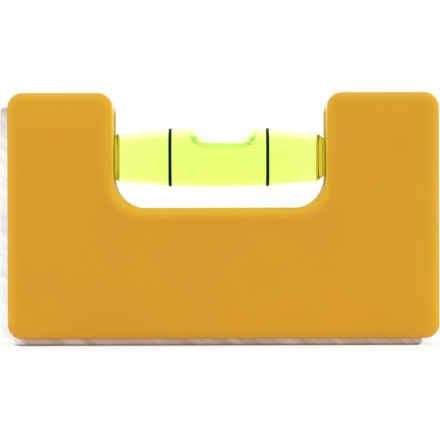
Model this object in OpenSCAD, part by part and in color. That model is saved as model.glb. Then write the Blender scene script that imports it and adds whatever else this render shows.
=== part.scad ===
// Pocket level. A U-shaped moulded body in two half shells holds a tubular bubble
// vial between its two posts, and an L-shaped metal rail gives it a true base and a
// true left side. Three bar magnets lie behind the rail.
// Millimetres. +X is right, +Y is to the rear and +Z is up. The origin lies under the
// middle of the whole level, on the face that it stands on.

/* [Body] */
// Length of the moulded body
body_l = 68.9; // [66:0.2:84]
// Height of the moulded body
body_h = 39.3; // [37:0.2:52]
// Depth from the front face to the rear face
body_d = 20; // [18:0.5:28]
// Wall of both half shells
wall = 2; // [1.6:0.1:2.4]
// Radius of the corners at the tops of the posts
corner_r = 2.4; // [1:0.1:3]
// Radius of the two corners at the foot
foot_r = 2.3; // [2:0.1:4]
// Radius of the roll round the front and the rear outline
edge_r = 2; // [0.6:0.1:2.4]
// Width of the shadow line where the half shells meet
seam_w = 0.4; // [0.2:0.1:1]
// Depth of that shadow line
seam_d = 0.2; // [0.1:0.05:0.5]

/* [Notch] */
// Width of the notch between the posts
notch_w = 34.2; // [32:0.1:36]
// Depth of the notch below the tops of the posts
notch_h = 18.4; // [16:0.1:22]
// Radius of the notch's two lower corners
notch_r = 5.1; // [2:0.1:7]

/* [Edge rail] */
// Thickness of the rail
rail_t = 2; // [1.6:0.1:3]
// How far the rail stands proud of the body
rail_proud = 1.1; // [0.6:0.1:1.5]
// How far the rail's sawn edges lie behind the front and rear faces
rail_set_back = 2; // [2:0.1:4]
// How far the base leg stops short of the body's right side
base_leg_gap = 2.8; // [1.5:0.1:6]
// How far the left leg stops short of the tops of the posts
side_leg_gap = 2.3; // [1.5:0.1:6]
// Radius at the tip of each leg
rail_tip_r = 0.8; // [0.3:0.1:1]
// Radius inside the rail's bend
rail_bend_r = 0.6; // [0.3:0.1:1]
// Width of the stem of each hook that holds the rail in the body
hook_stem = 1.6; // [1:0.1:2.4]
// Width of the head of each hook
hook_head = 4.2; // [3:0.1:5]
// Thickness of the head of each hook
hook_t = 1.2; // [0.8:0.1:1.6]

/* [Magnets] */
// Length of each bar magnet
magnet_l = 12; // [8:0.5:13]
// Width of each bar magnet, across the rail
magnet_w = 10; // [6:0.5:11]
// Thickness of each bar magnet
magnet_t = 3; // [2.5:0.1:3.5]
// Distance between the middles of the two base magnets
magnet_pitch = 17; // [17:0.5:20]
// Height of the middle of the side magnet
side_magnet_z = 18.5; // [17:0.5:20]
// Wall of the pockets that hold the magnets
pocket_wall = 1.2; // [0.8:0.1:1.5]

/* [Vial] */
// Height of the vial's axis above the notch's floor
vial_rise = 8.2; // [7:0.1:9]
// How far the middle of the barrel's bow lies right of the notch's middle
vial_x = -0.15; // [-0.5:0.05:0.5]
// Diameter of the barrel at its middle
vial_dia = 9.6; // [9:0.1:11]
// Radius of the barrel's bowed outside
vial_bow = 145; // [100:1:300]
// Diameter of the bore at its middle
bore_dia = 7.7; // [7:0.1:8]
// Radius of the bore's bowed roof
bore_bow = 150; // [140:1:400]
// Length of the left cap between the post and the barrel
neck_left = 0.65; // [0.5:0.05:1.5]
// Length of the right cap between the barrel and the post
neck_right = 1.25; // [0.5:0.05:1.5]
// Diameter of the spigots that sit in the posts
spigot_dia = 5.2; // [4.4:0.1:5.6]
// Length of each spigot
spigot_l = 3.6; // [3:0.1:5]
// Diameter of the step that centres each cap in the barrel
cap_step_dia = 5.6; // [5:0.1:5.8]
// Length of that step
cap_step_l = 0.3; // [0.2:0.05:1]
// Distance between the middles of the two index rings
ring_gap = 15.7; // [12:0.1:18]
// Width of each index ring
ring_w = 0.5; // [0.3:0.05:0.8]
// How far each index ring stands proud of the barrel
ring_t = 0.08; // [0.05:0.01:0.2]

/* [Bubble] */
// Length of the bubble
bubble_l = 10.9; // [8:0.1:12]
// Width of the bubble
bubble_w = 5.8; // [4:0.1:5.8]
// Depth of the bubble below the bore's roof
bubble_h = 3.1; // [2.6:0.1:3.5]
// Depth of the bubble's widest line below the bore's roof
bubble_brim = 1.75; // [1.6:0.05:2.2]
// Depth of the bubble's two tips below the bore's roof
bubble_nose = 0.85; // [0.7:0.05:1.4]
// How far the bubble lies right of the vial's middle
bubble_x = 0.7; // [-2:0.1:2]

/* [Inside] */
// Height of the blocks that hold the vial's spigots
seat_block_h = 8.6; // [7:0.1:10]
// Distance between the ribs under the notch's floor
rib_pitch = 11.4; // [8:0.1:12]
// Thickness of those ribs
rib_t = 1.2; // [0.8:0.1:1.6]
// Height of those ribs
rib_h = 8; // [4:0.1:9]
// Diameter of the locating pins
pin_dia = 2.4; // [1.6:0.1:3]
// Length of the locating pins past the joint
pin_l = 3; // [2:0.1:4]
// Wall of the bosses round the pins and their sockets
boss_wall = 1.3; // [1:0.1:1.6]

/* [Fits] */
// Clearance of the rail, the hooks and the magnets in the body
seat_gap = 0.1; // [0.05:0.01:0.2]
// Clearance of the vial's spigots, of its caps and of its rings
vial_gap = 0.04; // [0.02:0.01:0.08]
// Play of the vial between the posts, at each end
vial_play = 0.1; // [0.05:0.01:0.2]
// Clearance of the liquid all round
liquid_gap = 0.04; // [0.02:0.01:0.08]
// Film of liquid between the bubble and the bore's roof
film = 0.16; // [0.14:0.01:0.3]
// Clearance of the locating pins in their sockets
pin_gap = 0.05; // [0.02:0.01:0.1]

/* [Hidden] */
$fn = 48;

// How far a cut runs past the face that it opens
past = 1;
// How far the roll laps into the blocks that it joins
roll_lap = 0.2;
// The least radius worth rounding
least_r = 0.01;

// Sides of the body, counted from the middle of the whole level
whole_l = body_l + rail_proud;
body_left = rail_proud - whole_l / 2;
body_right = whole_l / 2;
body_foot = rail_proud;
body_top = rail_proud + body_h;
notch_right = notch_w / 2;
notch_left = -notch_right;
notch_floor = body_top - notch_h;
half_d = body_d / 2;
roll_r = min(edge_r, corner_r, foot_r);

// The outline's corners, counter-clockwise from the left foot: x, z, radius, and
// 1 where it turns left or -1 where it turns right
corners = [
    [body_left, body_foot, foot_r, 1],
    [body_right, body_foot, foot_r, 1],
    [body_right, body_top, corner_r, 1],
    [notch_right, body_top, corner_r, 1],
    [notch_right, notch_floor, notch_r, -1],
    [notch_left, notch_floor, notch_r, -1],
    [notch_left, body_top, corner_r, 1],
    [body_left, body_top, corner_r, 1]
];

// The rail: its outer faces are the level's own base and left side
rail_left = -whole_l / 2;
rail_half_w = half_d - rail_set_back;
rail_right = body_right - base_leg_gap;
rail_top = body_top - side_leg_gap;
rail_corner_r = foot_r + rail_proud;
bend_relief = 0.3;

// The room inside the shells starts one wall behind the rail's channel
room_left = rail_left + rail_t + wall;
room_foot = rail_t + wall;
hook_reach = wall + seat_gap;

// Places along the rail, from the magnets outwards
magnet_room = magnet_l / 2 + seat_gap + pocket_wall;
hook_room = hook_head / 2 + 2 * seat_gap;
hook_pitch = magnet_pitch + 2 * (magnet_room + hook_room);
side_hook_z = side_magnet_z + magnet_room + hook_room;

// Locating pins, one in each corner of the body
boss_r = pin_dia / 2 + pin_gap + boss_wall;
side_pocket_reach = rail_left + rail_t + magnet_t + seat_gap + pocket_wall;
pin_left = side_pocket_reach + seat_gap + boss_r;
pin_right = body_right - wall - boss_r - seat_gap;
pin_low = room_foot + hook_t + 2 * seat_gap + boss_r;
pin_high = body_top - wall - boss_r - seat_gap;
pin_places = [for (x = [pin_left, pin_right], z = [pin_low, pin_high]) [x, z]];
socket_spare = 0.3;
rib_set_back = 1.4;

// The vial, along its own axis and counted from the middle of its bow
vial_z = notch_floor + vial_rise;
neck_left_end = notch_left + vial_play - vial_x;
neck_right_end = notch_right - vial_play - vial_x;
barrel_left = neck_left_end + neck_left;
barrel_right = neck_right_end - neck_right;
bore_left = barrel_left + cap_step_l;
bore_right = barrel_right - cap_step_l;
spigot_r = spigot_dia / 2;
shoulder_step = 0.35;
disc_taper = 0.25;
rim_set = 0.06;
tip_bevel = 0.3;
bow_steps = 24;

// The bubble runs on the arc of the bore's roof, round the middle of that arc
roof_centre_z = vial_z + bore_dia / 2 - bore_bow;
bubble_turn = asin(bubble_x / bore_bow);
brim_z = bore_dia / 2 - bubble_brim;
nose_z = bore_dia / 2 - bubble_nose;
dome_h = 1.2 * bubble_brim;
bowl_h = bubble_h - bubble_brim;
roof_drop = bore_dia / 2 - bowed(bore_dia, bore_bow, max(-bore_left, bore_right) - bubble_l / 2);
bubble_rings = 18;
bubble_points = 24;
cavity_gap = 0.05;
cavity_over = 2 * film;

function prev(i) = (i + len(corners) - 1) % len(corners);
function next(i) = (i + 1) % len(corners);
function place(i) = [corners[i][0], corners[i][1]];
function radius(i) = corners[i][2];
function turn(i) = corners[i][3];
function ahead(i) = place(next(i)) - place(i);
function heading(i) = atan2(ahead(i)[1], ahead(i)[0]);
function along(i) = [cos(heading(i)), sin(heading(i))];
function inward(i) = [-sin(heading(i)), cos(heading(i))];
function set_in(i, inset) = place(i) + inset * (inward(prev(i)) + inward(i));

// Radius of a bowed barrel at a distance from its middle
function bowed(dia, bow, x) = dia / 2 - bow + sqrt(bow * bow - x * x);
function bow_points(dia, bow, left, right) =
    [for (i = [0:bow_steps]) let (x = left + (right - left) * i / bow_steps) [bowed(dia, bow, x), x]];
// Radius of a cap's rim, a little inside the barrel's end
function cap_rim(x) = bowed(vial_dia, vial_bow, x) - rim_set;
function backwards(list) = [for (i = [len(list) - 1:-1:0]) list[i]];

// The sliver between a square corner and its arc
module nib(r) {
    difference() {
        square(r);
        translate([r, r]) circle(r);
    }
}

// That sliver at one corner of the outline, which is set in
module corner_nib(i, inset) {
    translate(set_in(i, inset))
        rotate(turn(i) > 0 ? heading(i) : heading(i) - 90)
            nib(radius(i) - turn(i) * inset);
}

// The body's outline seen from the front, set in all round
module outline(inset = 0) {
    difference() {
        union() {
            polygon([for (i = [0:len(corners) - 1]) set_in(i, inset)]);
            for (i = [0:len(corners) - 1]) if (turn(i) < 0) corner_nib(i, inset);
        }
        for (i = [0:len(corners) - 1])
            if (turn(i) > 0 && radius(i) - inset > least_r) corner_nib(i, inset);
    }
}

// A quarter of a disc, with its centre inboard of the edge that it rounds. It laps into the
// block under it and, by a lap of its own, into the block beside it
module roll_profile(lap) {
    intersection() {
        translate([roll_r, 0]) circle(roll_r);
        square(roll_r);
    }
    translate([0, -roll_lap]) square([roll_r + lap, roll_lap]);
    translate([roll_r, -roll_lap]) square([lap, roll_r + roll_lap]);
}

// The roll along the outline's straight sides and round its corners
module edge_roll() {
    for (i = [0:len(corners) - 1]) {
        run = norm(ahead(i)) - radius(i) - radius(next(i));
        translate(place(i) + radius(i) * along(i))
            rotate(heading(i)) rotate([90, 0, 90])
                linear_extrude(run) roll_profile(roll_lap);
        centre = place(i) + radius(i) * (along(i) - along(prev(i)));
        if (turn(i) > 0)
            translate(centre) rotate(heading(prev(i)) - 90) rotate_extrude(angle = 90)
                translate([radius(i), 0]) mirror([1, 0])
                    roll_profile(min(roll_lap, radius(i) - roll_r));
        else
            translate(centre) rotate(heading(prev(i))) rotate_extrude(angle = 90)
                translate([radius(i), 0]) roll_profile(roll_lap);
    }
}

// One half of the body as a solid: z runs from the joint out to the face
module half_form() {
    linear_extrude(seam_w / 2) outline(seam_d);
    translate([0, 0, seam_w / 2]) linear_extrude(half_d - roll_r - seam_w / 2) outline();
    linear_extrude(half_d) outline(roll_r);
    translate([0, 0, half_d - roll_r]) edge_roll();
}

// The room inside one half
module half_room() {
    translate([0, 0, -past]) linear_extrude(half_d - wall + past)
        intersection() {
            outline(wall);
            translate([room_left, room_foot]) square([whole_l, body_h]);
        }
}

// The L-shaped channel that the rail lies in, one half
module rail_channel() {
    translate([0, 0, -past]) linear_extrude(rail_half_w + seat_gap + past)
        difference() {
            translate([rail_left - past, -past])
                square([rail_right + seat_gap - rail_left + past, rail_top + seat_gap + past]);
            translate([rail_left + rail_t, rail_t]) difference() {
                square([whole_l, body_h]);
                nib(rail_bend_r + bend_relief);
            }
        }
}

// Slots in the wall for the stems of the rail's hooks, one half
module hook_slots() {
    slot = hook_stem + 2 * seat_gap;
    depth = rail_half_w + seat_gap + past;
    for (x = [-hook_pitch / 2, hook_pitch / 2])
        translate([x - slot / 2, 0, -past]) cube([slot, room_foot + past, depth]);
    translate([rail_left, side_hook_z - slot / 2, -past])
        cube([rail_t + wall + past, slot, depth]);
}

// A bar magnet's block, grown by a gap: lies along X on the rail's inner face
module magnet_block(gap, depth) {
    translate([-magnet_l / 2 - gap, 0, -depth])
        cube([magnet_l + 2 * gap, magnet_t + gap, depth + magnet_w / 2 + gap]);
}

// Sets a shape at the place of each magnet, seen from the front
module at_base_magnet(side) {
    translate([side * magnet_pitch / 2, rail_t, 0]) children();
}
module at_side_magnet() {
    translate([rail_left + rail_t, side_magnet_z, 0]) rotate(-90) children();
}

// The block round a magnet, standing on the wall, one half
module magnet_pocket() {
    thick = seat_gap + pocket_wall;
    translate([-magnet_l / 2 - thick, wall / 2, 0])
        cube([magnet_l + 2 * thick, magnet_t + thick - wall / 2, magnet_w / 2 + thick]);
}

// The blocks that hold the vial's spigots, one half
module vial_seats() {
    reach = wall / 2 + spigot_l + vial_gap;
    for (side = [-1, 1])
        translate([side > 0 ? notch_right + wall / 2 : notch_left - wall / 2 - reach,
                   vial_z - seat_block_h / 2, 0])
            cube([reach, seat_block_h, half_d - wall / 2]);
}

// The round holes for the spigots
module spigot_holes() {
    depth = spigot_l + 2 * vial_gap;
    for (side = [-1, 1])
        translate([side > 0 ? notch_right - past : notch_left - depth, vial_z, 0])
            rotate([0, 90, 0]) cylinder(r = spigot_r + vial_gap, h = depth + past);
}

// Bosses for the locating pins, from the face to the joint
module pin_bosses() {
    for (p = pin_places)
        translate(p) cylinder(r = boss_r, h = half_d - wall / 2);
}

// Ribs that stiffen the notch's floor, one half
module floor_ribs() {
    for (x = [-rib_pitch, 0, rib_pitch])
        translate([x - rib_t / 2, notch_floor - wall - rib_h, rib_set_back])
            cube([rib_t, rib_h + wall / 2, half_d - wall / 2 - rib_set_back]);
}

// What both half shells share
module half_shell() {
    difference() {
        union() {
            difference() {
                half_form();
                half_room();
            }
            vial_seats();
            pin_bosses();
            floor_ribs();
            for (side = [-1, 1]) at_base_magnet(side) magnet_pocket();
            at_side_magnet() magnet_pocket();
        }
        rail_channel();
        hook_slots();
        spigot_holes();
        for (side = [-1, 1]) at_base_magnet(side) magnet_block(seat_gap, past);
        at_side_magnet() magnet_block(seat_gap, past);
    }
}

module front_shell() {
    color("#de9e30") rotate([90, 0, 0]) {
        half_shell();
        for (p = pin_places)
            translate([p[0], p[1], -pin_l]) cylinder(d = pin_dia, h = pin_l + wall);
    }
}

module rear_shell() {
    color("#de9e30") mirror([0, 1, 0]) rotate([90, 0, 0])
        difference() {
            half_shell();
            for (p = pin_places)
                translate([p[0], p[1], -past])
                    cylinder(d = pin_dia + 2 * pin_gap, h = pin_l + socket_spare + past);
        }
}

// One hook of the rail: a stem through the wall and a head inside
module rail_hook() {
    translate([-hook_stem / 2, -rail_t / 2]) square([hook_stem, rail_t / 2 + hook_reach + hook_t]);
    translate([-hook_head / 2, hook_reach]) square([hook_head, hook_t]);
}

module edge_rail() {
    color("#c9c6c0") translate([0, rail_half_w, 0]) rotate([90, 0, 0])
        linear_extrude(2 * rail_half_w) {
            difference() {
                union() {
                    translate([rail_left, 0]) square([rail_right - rail_left, rail_t]);
                    translate([rail_left, 0]) square([rail_t, rail_top]);
                }
                translate([rail_left, 0]) nib(rail_corner_r);
                translate([rail_right, 0]) rotate(90) nib(rail_tip_r);
                translate([rail_left, rail_top]) rotate(-90) nib(rail_tip_r);
            }
            translate([rail_left + rail_t, rail_t]) nib(rail_bend_r);
            for (x = [-hook_pitch / 2, hook_pitch / 2]) translate([x, rail_t]) rail_hook();
            translate([rail_left + rail_t, side_hook_z]) rotate(-90) rail_hook();
        }
}

// A whole magnet, from the half block seen from the front
module magnet() {
    color("#b9bcc0") rotate([90, 0, 0]) children();
}
module base_magnet_left() {
    magnet() at_base_magnet(-1) magnet_block(0, magnet_w / 2);
}
module base_magnet_right() {
    magnet() at_base_magnet(1) magnet_block(0, magnet_w / 2);
}
module side_magnet() {
    magnet() at_side_magnet() magnet_block(0, magnet_w / 2);
}

// Turns a profile of radius and distance round the vial's axis
module vial_turned(points) {
    translate([vial_x, 0, vial_z]) rotate([0, 90, 0]) rotate_extrude() polygon(points);
}

module vial_barrel() {
    hole_r = cap_step_dia / 2 + vial_gap;
    color("#f2fbc2", 0.5) vial_turned(concat(
        [[hole_r, bore_left], [hole_r, barrel_left]],
        bow_points(vial_dia, vial_bow, barrel_left, barrel_right),
        [[hole_r, barrel_right], [hole_r, bore_right]],
        backwards(bow_points(bore_dia, bore_bow, bore_left, bore_right))
    ));
}

// A cap from its step in the barrel, over its rim and neck, to its spigot in a post
module vial_cap(side, bore_end, barrel_end, neck_end, neck_r) {
    rim_r = cap_rim(barrel_end);
    step_r = cap_step_dia / 2;
    tip = neck_end + side * spigot_l;
    color("#c8b22d", 0.7) vial_turned([
        [0, bore_end], [step_r, bore_end], [step_r, barrel_end], [rim_r, barrel_end],
        [neck_r, neck_end], [spigot_r, neck_end], [spigot_r, tip - side * tip_bevel],
        [spigot_r - tip_bevel, tip], [0, tip]
    ]);
}

// The left cap is a disc nearly as wide as the barrel's end
module vial_cap_left() {
    vial_cap(-1, bore_left, barrel_left, neck_left_end, cap_rim(barrel_left) - disc_taper);
}

// The right cap tapers to a narrow shoulder
module vial_cap_right() {
    vial_cap(1, bore_right, barrel_right, neck_right_end, spigot_r + shoulder_step);
}

// A printed ring on the barrel, which follows its bow
module index_ring(middle) {
    low = middle - ring_w / 2;
    high = middle + ring_w / 2;
    seat_low = bowed(vial_dia, vial_bow, low) + vial_gap / 2;
    seat_high = bowed(vial_dia, vial_bow, high) + vial_gap / 2;
    color("#16160f") vial_turned([
        [seat_low, low], [seat_low + ring_t, low], [seat_high + ring_t, high], [seat_high, high]
    ]);
}
module index_ring_left() {
    index_ring(-ring_gap / 2);
}
module index_ring_right() {
    index_ring(ring_gap / 2);
}

// One ring of the bubble's skin at a share s of its half length: a bowl below its widest
// line, and above it a dome that is pressed flat where the bore's roof is in the way. Its
// sides are pressed in further, by what the bore narrows at the ends of the bubble's travel
function bubble_ring(s, grow, roof_gap) =
    let (x = s * (bubble_l / 2 + grow),
         swell = sqrt(1 - s * s),
         half_w = (bubble_w / 2 + grow) * swell,
         middle_z = brim_z + (nose_z - brim_z) * pow(s, 4),
         roof_r = bowed(bore_dia, bore_bow, x) - roof_gap)
    [for (j = [0:bubble_points - 1])
        let (t = 360 * j / bubble_points,
             y = half_w * cos(t),
             z = middle_z + ((sin(t) > 0 ? dome_h : bowl_h) + grow) * swell * sin(t),
             reach = norm([y, z]),
             held = min(1, (roof_r - roof_drop * (1 - z / reach)) / reach))
        [x, y * held, z * held]];

// The bubble as a closed skin of rings between two end points
module bubble_skin(grow, roof_gap) {
    shares = [for (i = [1:bubble_rings - 1]) -cos(180 * i / bubble_rings)];
    rings = [for (s = shares) bubble_ring(s, grow, roof_gap)];
    tip_x = bubble_l / 2 + grow;
    count = bubble_points;
    last = len(rings) * count;
    points = concat([for (r = rings) each r], [[-tip_x, 0, nose_z], [tip_x, 0, nose_z]]);
    side = [for (i = [0:len(rings) - 2], j = [0:count - 1])
        let (k = (j + 1) % count, a = i * count, b = a + count)
        each [[a + j, b + j, b + k], [a + j, b + k, a + k]]];
    left = [for (j = [0:count - 1]) [last, j, (j + 1) % count]];
    right = [for (j = [0:count - 1]) [last + 1, last - count + (j + 1) % count, last - count + j]];
    translate([vial_x, 0, roof_centre_z]) rotate([0, bubble_turn, 0])
        translate([0, 0, vial_z - roof_centre_z])
            polyhedron(points, concat(side, left, right));
}

module vial_liquid() {
    left = bore_left + liquid_gap;
    right = bore_right - liquid_gap;
    color("#eefe79", 0.6) difference() {
        vial_turned(concat(
            [[0, left]],
            bow_points(bore_dia - 2 * liquid_gap, bore_bow, left, right),
            [[0, right]]
        ));
        bubble_skin(cavity_gap, -cavity_over);
    }
}

module vial_bubble() {
    color("#ffffff", 0.5) bubble_skin(0, film);
}

front_shell();
rear_shell();
edge_rail();
base_magnet_left();
base_magnet_right();
side_magnet();
vial_barrel();
vial_cap_left();
vial_cap_right();
index_ring_left();
index_ring_right();
vial_liquid();
vial_bubble();
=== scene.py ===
"""Pocket level: the finish of its body and rail, its vial, and a plain white studio."""

import math

import bmesh
import bpy
from bpy.props import FloatProperty, FloatVectorProperty, IntProperty, PointerProperty
from bpy.types import Operator, Panel, PropertyGroup
from mathutils import Matrix, Vector


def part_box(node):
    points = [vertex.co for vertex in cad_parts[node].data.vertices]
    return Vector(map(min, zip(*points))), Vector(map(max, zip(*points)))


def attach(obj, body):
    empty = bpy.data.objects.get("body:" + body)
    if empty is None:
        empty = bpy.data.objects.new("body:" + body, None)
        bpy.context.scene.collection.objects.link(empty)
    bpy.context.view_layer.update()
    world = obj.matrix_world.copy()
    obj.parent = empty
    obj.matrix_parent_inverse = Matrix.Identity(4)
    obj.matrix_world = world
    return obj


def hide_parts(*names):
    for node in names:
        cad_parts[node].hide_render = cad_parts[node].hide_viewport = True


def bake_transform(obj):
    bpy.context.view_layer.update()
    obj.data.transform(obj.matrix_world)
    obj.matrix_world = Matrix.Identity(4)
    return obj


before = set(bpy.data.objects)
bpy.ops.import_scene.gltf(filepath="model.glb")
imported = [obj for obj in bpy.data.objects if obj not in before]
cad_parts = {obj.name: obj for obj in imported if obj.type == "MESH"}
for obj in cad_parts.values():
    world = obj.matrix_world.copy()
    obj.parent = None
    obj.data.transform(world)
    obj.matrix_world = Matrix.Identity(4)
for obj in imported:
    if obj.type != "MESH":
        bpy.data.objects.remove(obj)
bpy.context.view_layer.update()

bl_info = {
    "name": "Pocket level",
    "version": (1, 0, 0),
    "blender": (4, 5, 0),
    "location": "3D View > Sidebar > Level",
    "description": "Finishes a pocket level, builds its vial and sets up a white studio",
    "category": "Object",
}

MM = 0.001


def linear(text):
    """A hex colour as three linear values."""
    shares = [int(text[i:i + 2], 16) / 255 for i in (1, 3, 5)]
    return [s / 12.92 if s <= 0.04045 else ((s + 0.055) / 1.055) ** 2.4 for s in shares]


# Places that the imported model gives
BARREL_LOW, BARREL_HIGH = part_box("vial_barrel")
LEFT_CAP_LOW, LEFT_CAP_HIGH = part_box("vial_cap_left")
RIGHT_CAP_LOW, RIGHT_CAP_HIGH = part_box("vial_cap_right")
LEFT_RING_LOW, LEFT_RING_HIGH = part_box("index_ring_left")
RIGHT_RING_LOW, RIGHT_RING_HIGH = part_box("index_ring_right")
BUBBLE_LOW, BUBBLE_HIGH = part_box("vial_bubble")
SHELL_LOW, SHELL_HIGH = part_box("front_shell")
# Half the notch's width
NOTCH_HALF = 17.1 * MM

# The vial's axis lies along X, and distances along it are counted from midway between the rings
VIAL_MIDDLE = (LEFT_RING_LOW + LEFT_RING_HIGH + RIGHT_RING_LOW + RIGHT_RING_HIGH) / 4
BARREL_R = (BARREL_HIGH.z - BARREL_LOW.z) / 2
BARREL_LEFT = BARREL_LOW.x - VIAL_MIDDLE.x
BARREL_RIGHT = BARREL_HIGH.x - VIAL_MIDDLE.x
BORE_LEFT = LEFT_CAP_HIGH.x - VIAL_MIDDLE.x
BORE_RIGHT = RIGHT_CAP_LOW.x - VIAL_MIDDLE.x
LEFT_TIP = LEFT_CAP_LOW.x - VIAL_MIDDLE.x
RIGHT_TIP = RIGHT_CAP_HIGH.x - VIAL_MIDDLE.x
BUBBLE_HALF = (BUBBLE_HIGH.x - BUBBLE_LOW.x) / 2
BUBBLE_OFFSET = (BUBBLE_LOW.x + BUBBLE_HIGH.x) / 2 - VIAL_MIDDLE.x


def colour_prop(name, text, description):
    """A colour that a user may change, given as hex."""
    return FloatVectorProperty(
        name=name, description=description, subtype="COLOR", size=3, min=0, max=1, default=linear(text)
    )


def length_prop(name, size_mm, description):
    """A length that a user may change, given in millimetres and kept in metres."""
    return FloatProperty(
        name=name, description=description, subtype="DISTANCE", unit="LENGTH", min=0, precision=5,
        default=size_mm * MM,
    )


def power_prop(name, watts, description):
    """A lamp's power that a user may change."""
    return FloatProperty(name=name, description=description, subtype="POWER", min=0, default=watts)


class LevelBodyProps(PropertyGroup):
    """Finish of the moulded body and of the metal in it."""

    plastic: colour_prop("Plastic", "#DB9A18", "Colour of the moulded plastic")
    # Painted highlight: the yellower colour given to the lit rolls and sides, and to the top and right side
    rubbed: colour_prop("Rubbed", "#DBA614", "Colour of the plastic where its edges are rubbed")
    # Painted highlight on the front half of the notch's walls
    polished: colour_prop("Polished", "#F6C93E", "Colour of the notch's walls where fingers polish them")
    # Painted shade on the rear half of the notch's walls
    wall_shade: colour_prop("Grimy", "#BC9E2C", "Colour of the notch's walls where grime stays")
    grain: length_prop("Grain", 0.35, "Width of the grain that the mould leaves on the plastic")
    metal: colour_prop("Metal", "#F9FAF7", "Colour of the clean rail")
    # The browner, darker tone of the rail's base edge, a painted reflection; the top of its left leg takes it
    # too
    painted_dark: colour_prop("Grime", "#B59980", "Colour of the rail where it is rubbed along the base")
    saw_pitch: length_prop("Saw marks", 1.6, "Distance between the marks on the rail's sawn edges")
    nickel: colour_prop("Nickel", "#BDB9AE", "Colour of the plated magnets")


class LevelVialProps(PropertyGroup):
    """Shape and finish of the vial."""

    barrel_bow: length_prop("Barrel bow", 145, "Radius of the barrel's bowed outside")
    bore_bow: length_prop("Bore bow", 150, "Radius of the bore's bowed roof")
    bore_dia: length_prop("Bore", 7.7, "Diameter of the bore at its middle")
    neck_left: length_prop("Left neck", 0.65, "Length of the left cap between the barrel and the post")
    neck_right: length_prop("Right neck", 1.25, "Length of the right cap between the barrel and the post")
    spigot_dia: length_prop("Spigot", 5.2, "Diameter of the spigots in the posts")
    shoulder: length_prop("Shoulder", 0.35, "Step between the right spigot and its neck")
    taper: length_prop("Taper", 0.25, "How much narrower the left cap is at the post")
    step_dia: length_prop("Step", 5.6, "Diameter of each cap where it enters the barrel")
    edge: length_prop("Edge", 0.2, "Radius on the barrel's moulded edges")
    bubble_w: length_prop("Bubble width", 6.2, "Width of the bubble before the bore presses it in")
    bubble_brim: length_prop("Bubble brim", 2.15, "Height of the bubble's widest line above the vial's axis")
    bubble_nose: length_prop("Bubble nose", 2.72, "Height of the bubble's two tips above the vial's axis")
    bubble_keel: length_prop("Bubble keel", 0.66, "Height of the bubble's lowest point above the axis")
    film: length_prop("Film", 0.05, "Film of liquid between the bubble and the bore's roof")
    acrylic: colour_prop("Acrylic", "#F6FAF4", "Colour of the clear barrel")
    # Painted shade: the caps are tinted amber to stand in for the shaded posts seen through them
    cap_shade_tint: colour_prop("Amber", "#C28F24", "Colour of the tinted caps")
    dye: colour_prop("Dye", "#EEF400", "Colour that the liquid lets through")
    dye_depth: length_prop("Dye depth", 3.15, "Depth of liquid that the dye's colour is given for")
    # Painted shade: the deeper green given to the skin at the bubble's noses, for the dark hooks at the
    # bubble's ends
    nose: colour_prop("Nose", "#B6CB50", "Colour that the liquid's skin lets through at the bubble's noses")
    glow: colour_prop("Glow", "#B4FF8C", "Colour of the dye's own glow")
    glow_strength: FloatProperty(
        name="Glow strength", description="Strength of the dye's glow", min=0, default=0.3
    )
    ink: colour_prop("Ink", "#0A0A07", "Colour of the printed rings")
    steps: IntProperty(name="Steps", description="Steps round the vial", default=160, min=24, max=400)


class LevelStageProps(PropertyGroup):
    """Camera and light."""

    distance: length_prop("Distance", 510, "Distance from the camera to the level's front face")
    pixels_per_mm: FloatProperty(
        name="Scale", description="Pixels per millimetre at the front face", default=6.289, min=0.1
    )
    frame_px: IntProperty(
        name="Frame", description="Width of the square frame", subtype="PIXEL", min=1, default=440
    )
    aim_x: length_prop("Aim X", 0.01, "Where the camera aims, to the right of the level's middle")
    aim_z: length_prop("Aim Z", 20.04, "Where the camera aims, above the floor")
    lean: FloatProperty(
        name="Lean", description="How far the camera leans to the side", subtype="ANGLE",
        default=math.radians(0.17),
    )
    paper: colour_prop("Paper", "#F6F6F4", "Colour of the floor")
    ambient: FloatProperty(
        name="Ambient", description="Strength of the light from all round", min=0, default=0.9
    )
    table: FloatProperty(
        name="Table", description="Share of the floor's light that comes from below", subtype="FACTOR",
        min=0, max=1, default=0.55,
    )
    above: power_prop("Above", 1.9, "Power of the lamp above")
    right: power_prop("Right", 2.0, "Power of the lamp at the right")
    left: power_prop("Left", 1.1, "Power of the lamp at the left")
    card: power_prop("Card", 17, "Power of the lamp that shines along the vial")


def add(tree, kind, inputs=None, **settings):
    """Adds a node with its settings, and fills or links its inputs."""
    node = tree.nodes.new(kind)
    for name, value in settings.items():
        setattr(node, name, value)
    for name, value in (inputs or {}).items():
        if isinstance(value, bpy.types.NodeSocket):
            tree.links.new(value, node.inputs[name])
        else:
            node.inputs[name].default_value = value
    return node


def rgba(colour):
    """Three linear values as a socket's colour."""
    return (*colour, 1.0)


def new_material(name):
    """An empty node material."""
    material = bpy.data.materials.new(name)
    material.use_nodes = True
    material.node_tree.nodes.clear()
    return material, material.node_tree


def per_metre(size):
    """The scale at which a texture repeats once in a size."""
    return 1.0 / size


# Widths of the patterns that the finishes show
FLOW_WIDTH = 14 * MM
PATCH_WIDTH = 5 * MM
LINE_WIDTH = 0.25 * MM
PEEL_WIDTH = 0.6 * MM
HAZE_WIDTH = 2.5 * MM
COVER_WIDTH = 0.5 * MM
FIBRE_WIDTH = 3 * MM

# Where the plastic's painted light starts and is strongest, towards the right side and towards the top
LIT_RIGHT = (30 * MM, 34 * MM)
LIT_TOP = (34 * MM, 40 * MM)
# How far from the middle the painted light and shade of the notch's walls fade, and the gloss of its top
# corners
WALLS_FADE = (NOTCH_HALF + 0.1 * MM, NOTCH_HALF + 0.5 * MM)
CORNERS_FADE = (NOTCH_HALF + 2.2 * MM, NOTCH_HALF + 2.6 * MM)
# Heights over which that gloss starts, and depths over which the walls turn from painted light to painted
# shade
CORNERS_START = (37.4 * MM, 38.2 * MM)
WALL_SHADE_START = (-1.2 * MM, -0.8 * MM)


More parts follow.
